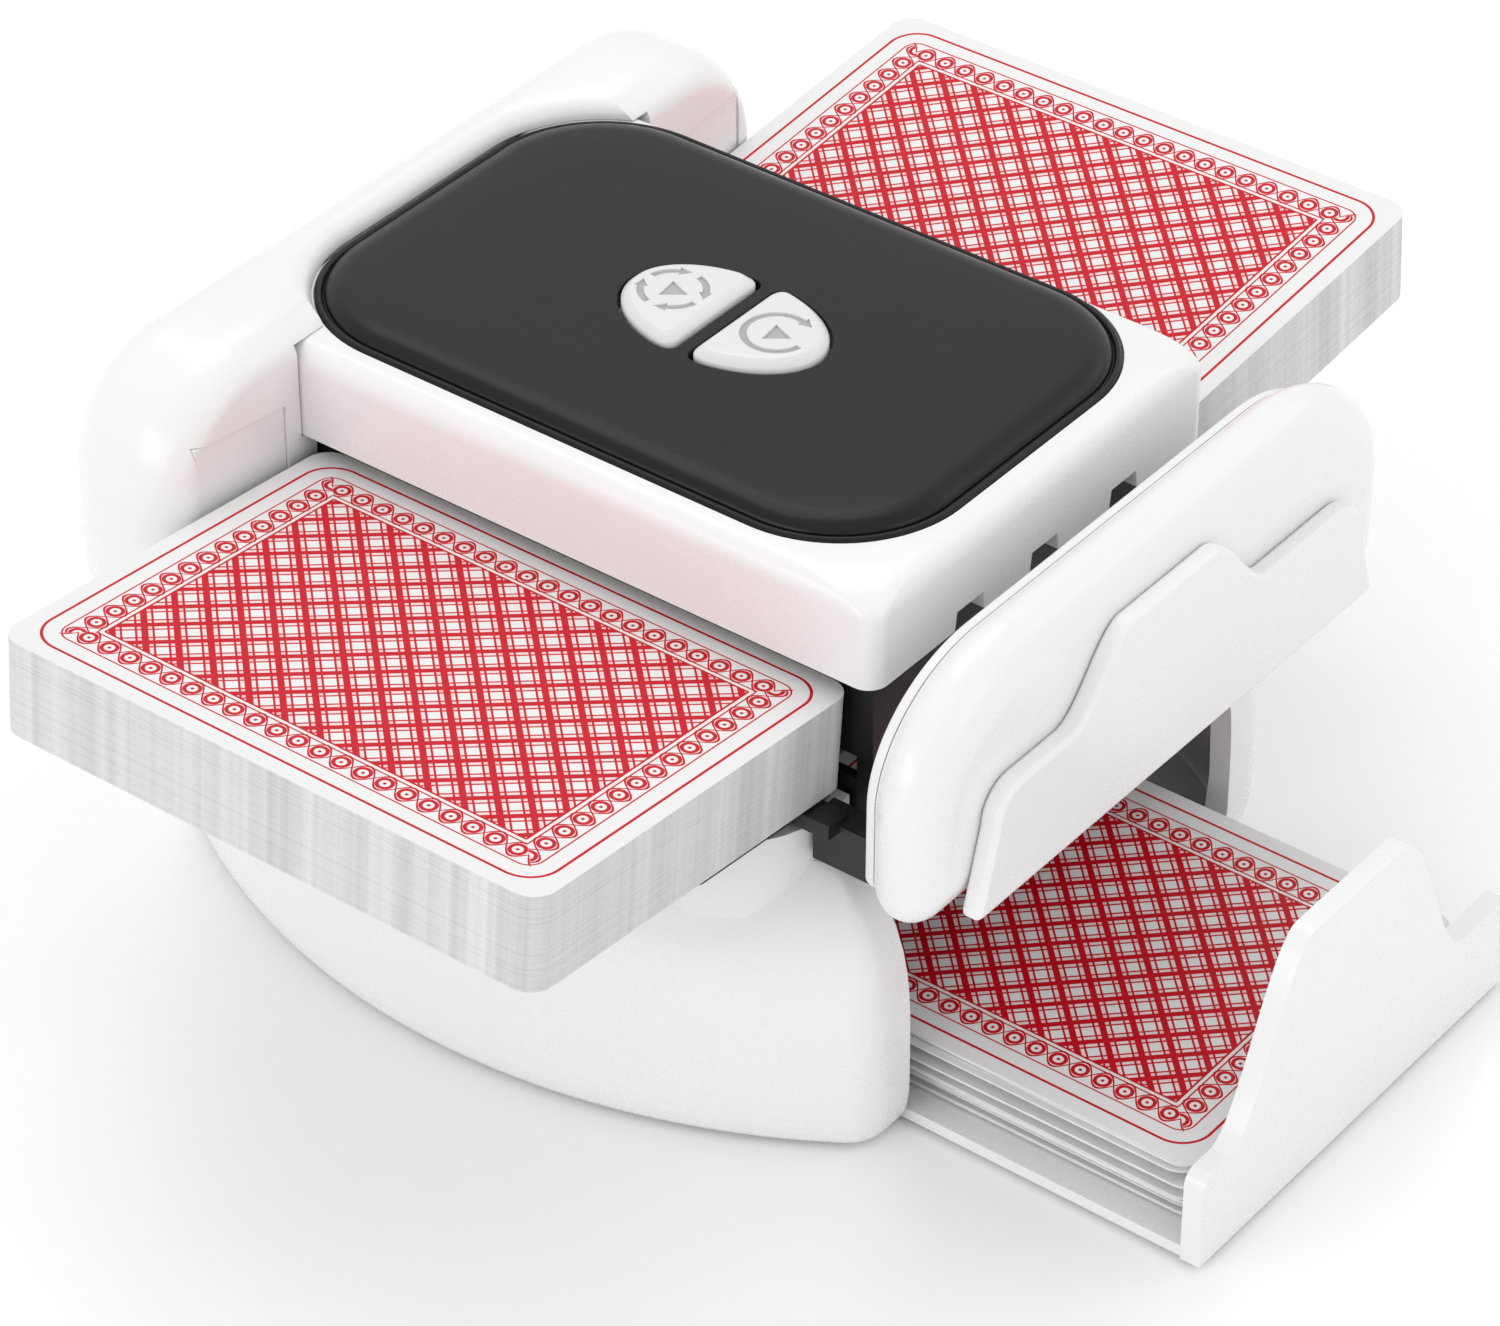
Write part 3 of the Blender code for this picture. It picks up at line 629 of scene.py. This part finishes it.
# ru and rv are the half axes of the upper corners, rb the radius of the lower ones
leftForm = {
    "in": -41.0, "out": -62.0, "half": 63.0, "low": 47.6, "top": 85.0, "ru": 18.0, "rv": 18.0, "rb": 6.0,
    "roundOut": 8.0, "roundIn": 4.6, "cheek": 2.1, "wall": 2.6, "seam": 57.0, "roomY": (39.6, 60.4),
    "pocketY": (40.0, 57.5), "pocketLow": 52, "pocketTop": 76.4, "pocketTilt": 7.0, "guideIn": 0.3,
}
rightForm = {
    "in": 62.0, "out": 73.0, "half": 52.6, "low": 47.0, "top": 81.8, "ru": 23.0, "rv": 19.0, "rb": 5.0,
    "crownX": 68.0, "crownWide": 5.0, "crownIn": 6.6, "riseIn": 2.2,
}
badgeForm = {"half": 45.0, "lean": 3.6, "low": 47.6, "shoulder": 65.3, "corner": 5.5, "top": 75.8, "foot": 22.5,
             "brow": 9.0}


# side view of an arm: elliptic upper corners, small lower ones
def armOutline(f, inset):
    h, lo, hi = f["half"] - inset, f["low"] + inset, f["top"] - inset
    a, v, r = max(f["ru"] - inset, 1), max(f["rv"] - inset, 1), max(f["rb"] - inset, 0.6)
    return np.concatenate([
        arcPoints(h - r, lo + r, r, r, -90, 0, 10), arcPoints(h - a, hi - v, a, v, 0, 90, 24),
        arcPoints(-h + a, hi - v, a, v, 90, 180, 24), arcPoints(-h + r, lo + r, r, r, 180, 270, 10)])


def armSkin(name, f, xs, insets, material):
    return loft(name, np.stack([armOutline(f, i) for i in insets]), xs, "x", material)


# both sides round off over the same depth, the outer one further in than the inner one
f = leftForm
outerTurn, innerTurn = np.linspace(0, np.pi / 2, 14), np.linspace(0, np.pi / 2, 12)
outerX = f["out"] + f["roundOut"] * (1 - np.cos(outerTurn))
outerInset = f["roundOut"] * (1 - np.sin(outerTurn))
innerX = f["in"] - f["roundOut"] + f["roundOut"] * np.sin(innerTurn)
innerInset = f["roundIn"] * (1 - np.cos(innerTurn))
leftArm = armSkin("leftArm", f, [*outerX, *innerX], [*outerInset, *innerInset], white)
cheek = f["in"] - f["cheek"]
# above the cover the arm's top ends in a rounded edge that follows the panel's outline
rise = np.linspace(0, 1, 7)
edgeRows = np.stack([panelOutline(-0.4 - 3.2 * (1 - math.sqrt(1 - t * t))) for t in rise])
edgeRows = np.concatenate([edgeRows[:1], edgeRows, edgeRows[-1:]])
edge = loft("cutter", edgeRows, [81.0, *(82.0 + 3.0 * rise), 90.0], "z", white)
coverRoom = (-c["halfX"] - 0.3, 0, -c["halfY"] - 0.3, c["halfY"] + 0.3, c["low"] - 0.3, c["top"] + 0.12)
tools = [box(*coverRoom), edge, box(-c["halfX"] - 0.3, 0, -34.4, 34.4, 40, 70)]
nearY, farY = f["pocketY"]
drop = (farY - nearY) * math.tan(math.radians(f["pocketTilt"]))
pockets = []
for s in (-1, 1):
    arch = armOutline(f, f["wall"])[10:34] * [s, 1]
    near, far = s * f["roomY"][0], s * f["roomY"][1]
    room = np.concatenate([[(near, 40), (far, 40)], arch, [(near, f["top"] - f["wall"])]])
    tools.append(solid("cutter", room, -59.0, cheek, "x"))
    tools.append(box(-53.0, cheek, s * 30, s * 52, 40, 54.6))
    tools.append(box(-53.0, -30, s * 30, s * 62, 40, 48.0))
    low, top = f["pocketLow"], f["pocketTop"]
    pocket = [(s * farY, low), (s * nearY, low), (s * nearY, top - drop), (s * farY, top)]
    pockets.append(np.array(pocket, float))
    tools.append(solid("cutter", pockets[-1], cheek - 1.0, 0, "x"))
tools.append(box(f["out"] - 5, f["out"] + 0.35, -70, 70, f["seam"] - 0.2, f["seam"] + 0.1))
cut(leftArm, *tools)
bevel(leftArm, 0.3, 2, 50)
stands(leftArm, "left_arm_shell", "frame")
for s, pocket, tag in ((-1, pockets[0], "front"), (1, pockets[1], "back")):
    middle = pocket.mean(0)
    outline = middle + (pocket - middle) * 0.99
    guide = solid("leftGuide" + tag.capitalize(), outline, f["in"] - 2.0, f["in"] - f["guideIn"], "x", white)
    bevel(guide, 0.2, 2, 40)
    stands(guide, "left_guide_" + tag, "frame")

f = rightForm
a = np.linspace(0, np.pi / 2, 16)
crownX = f["crownX"] + f["crownWide"] * np.sin(a)
crownInset = f["crownIn"] * (1 - np.cos(a))
riseX = np.linspace(f["in"] + 1.9, f["crownX"] - 0.4, 9)
riseInset = f["riseIn"] * ((riseX[-1] - riseX) / (riseX[-1] - riseX[0])) ** 1.8
rightArm = armSkin("rightArm", f, [*riseX, *crownX], [*riseInset, *crownInset], white)
cut(rightArm, armSkin("cutter", f, [50, 69.0], [4.0, 4.0], white))
bevel(rightArm, 0.3, 2, 50)
stands(rightArm, "right_arm_shell", "frame")
linerX = [f["in"] + step for step in (0, 0.25, 0.7, 1.6)]
liner = armSkin("rightLiner", f, linerX, [3.0, 2.6, 2.4, 2.4], white)
stands(liner, "right_arm_liner", "frame")
badge = solid("armBadge", bellOutline(**badgeForm), f["out"] + 0.03, f["out"] + 3.1, "x", white)
bevel(badge, 0.9, 3, 50)
stands(badge, "right_arm_badge", "frame")
print("arms made")

packForm = {"length": 88.0, "width": 63.0, "corner": 3.5, "thick": 14.0, "count": 52, "x": (4.6, 3.4),
            "y": 65.6, "top": 68.0, "tilt": 5.0, "jog": 0.03, "turn": 0.0003, "fill": 0.985}
looseForm = {"count": 26, "thick": 0.27, "x": 58.0, "y": -1.0, "low": 2.95, "high": 12.2,
             "clump": 2.6, "turn": 0.012}


# one card outline as a closed row of points
def cardRows(count):
    h = packForm
    return rounded(-h["length"] / 2, -h["width"] / 2, h["length"] / 2, h["width"] / 2, h["corner"], count)


# cards as closed slabs: the outline turned and shifted for each card
def cardStack(name, centre, turns, lows, highs, place):
    outline = cardRows(8)
    count, ring = len(lows), len(outline)
    ca, sa = np.cos(turns)[:, None], np.sin(turns)[:, None]
    x = outline[None, :, 0] * ca - outline[None, :, 1] * sa + centre[:, 0:1]
    y = outline[None, :, 0] * sa + outline[None, :, 1] * ca + centre[:, 1:2]
    low = np.stack([x, y, np.repeat(lows[:, None], ring, 1)], -1)
    high = np.stack([x, y, np.repeat(highs[:, None], ring, 1)], -1)
    points = place(np.stack([low, high], 1).reshape(-1, 3))
    faces, kinds = [], []
    for i in range(count):
        start = i * 2 * ring
        faces += ringFaces(2, ring, start)
        faces += [list(range(start, start + ring))[::-1], list(range(start + ring, start + 2 * ring))]
        kinds += [1] * (ring + 1) + [0 if i == count - 1 else 1]
    made = meshFrom(name, points, faces, backPattern, 30.0)
    mesh = made.data
    mesh.materials.append(packEdge if name != "looseCards" else looseEdge)
    mesh.polygons.foreach_set("material_index", np.array(kinds))
    flipIfInside(made)
    corner = np.empty(len(mesh.loops), int)
    mesh.loops.foreach_get("vertex_index", corner)
    flat = np.tile(outline, (count * 2, 1))[corner] / uvScale
    layer = mesh.uv_layers.new(name="cardPlace")
    layer.data.foreach_set("uv", flat.ravel())
    return made


def tilted(side, deckX):
    h = packForm
    a = math.radians(side * h["tilt"])

    def put(points):
        y, z = points[:, 1], points[:, 2]
        return np.stack([points[:, 0] + deckX + bodyX, side * h["y"] + y * math.cos(a) - z * math.sin(a),
                         h["top"] + y * math.sin(a) + z * math.cos(a)], -1)
    return put


rng = np.random.default_rng(7)
h = packForm
for side, tag, body, deckX in ((-1, "front", "front_cards", h["x"][0]), (1, "back", "back_cards", h["x"][1])):
    n = h["count"]
    jog = rng.uniform(-h["jog"], h["jog"], (n, 2))
    jog[-1] = 0
    pitch = h["thick"] / n
    lows = -h["thick"] + pitch * np.arange(n)
    turns = rng.uniform(-h["turn"], h["turn"], n)
    pack = cardStack(tag + "Pack", jog, turns, lows, lows + pitch * h["fill"], tilted(side, deckX))
    stands(pack, "cards_" + tag, body)

m = looseForm
n = m["count"]
clump = np.floor(np.arange(n) / m["clump"]).astype(int)
clumpJog = rng.uniform(-1.0, 1.0, (clump[-1] + 1, 2)) * [0.5, 1.5]
jog = clumpJog[clump] + rng.uniform(-0.25, 0.25, (n, 2)) + [m["x"], m["y"]]
jog[-3:, 1] = m["y"]
spread = rng.uniform(0.55, 1.45, n)
spread = np.cumsum(np.where(np.diff(clump, prepend=0) > 0, spread * 2.6, spread * 0.55))
lows = m["low"] + (m["high"] - m["low"] - m["thick"]) * (spread - spread[0]) / (spread[-1] - spread[0])
turns = rng.uniform(-m["turn"], m["turn"], clump[-1] + 1)[clump]
turns[-1] = 0
loose = cardStack("looseCards", jog, turns, lows, lows + m["thick"], lambda q: q + np.array([bodyX, 0, 0]))
stands(loose, "cards_drawer", "drawer_cards")
print("cards made")

finishes = {
    "bottom_plate": whiteSatin, "foot": footRubber, "screw": plated, "drawer_rail": satinBlack,
    "core_frame": satinBlack, "tray": satinBlack, "roller_shaft": steel, "feed_roller": rollerRubber,
    "roller_gear": nylon, "motor_pinion": brass, "motor": plated, "dome": silicone, "control_board": board,
    "battery_cell": cellSleeve, "charge_socket": plated,
}
for name, node in nodes.items():
    known = [key for key in finishes if name.startswith(key)]
    if known:
        node.data.materials.clear()
        node.data.materials.append(finishes[max(known, key=len)])

floorMesh = bpy.data.meshes.new("floor")
span = 3.0
floorCorners = [(-span, -span, 0), (span, -span, 0), (span, span, 0), (-span, span, 0)]
floorMesh.from_pydata(floorCorners, [], [(0, 1, 2, 3)])
floor = bpy.data.objects.new("floor", floorMesh)
bpy.context.scene.collection.objects.link(floor)
paleFloor = Graph("paleFloor", Roughness=0.35, Base_Color=(0.97, 0.97, 0.97))
floorMesh.materials.append(paleFloor.material)

world = bpy.data.worlds.new("studio")
world.use_nodes = True
world.node_tree.nodes["Background"].inputs[0].default_value = (1, 1, 1, 1)
world.node_tree.nodes["Background"].inputs[1].default_value = 0.91
bpy.context.scene.world = world


def softLight(name, where, size, power, target=(0, 0, 0.05)):
    data = bpy.data.lights.new(name, "AREA")
    data.shape = "RECTANGLE"
    data.size, data.size_y = size
    data.energy = power
    lamp = bpy.data.objects.new(name, data)
    lamp.location = where
    lamp.rotation_euler = (Vector(target) - Vector(where)).to_track_quat("-Z", "Y").to_euler()
    bpy.context.scene.collection.objects.link(lamp)


softLight("keySoftbox", (-0.45, 0.35, 1.1), (0.7, 0.7), 2.0)
softLight("rearSoftbox", (0.5, 1.0, 0.9), (1.2, 0.5), 1.2)
softLight("sideFill", (1.1, 0.1, 0.6), (0.6, 0.6), 1.0)
softLight("frontFill", (-0.2, -1.1, 0.45), (0.9, 0.5), 2.6)

cameraForm = {"x": 0.3720, "y": -0.5024, "z": 0.5026, "az": 37.72, "el": 36.68, "lens": 138.8}
k = cameraForm
cameraData = bpy.data.cameras.new("camera")
cameraData.lens = k["lens"]
cameraData.sensor_width = 36.0
camera = bpy.data.objects.new("camera", cameraData)
camera.location = (k["x"], k["y"], k["z"])
camera.rotation_euler = (math.radians(90 - k["el"]), 0, math.radians(k["az"]))
bpy.context.scene.collection.objects.link(camera)
bpy.context.scene.camera = camera
bpy.context.scene.view_settings.view_transform = "Standard"
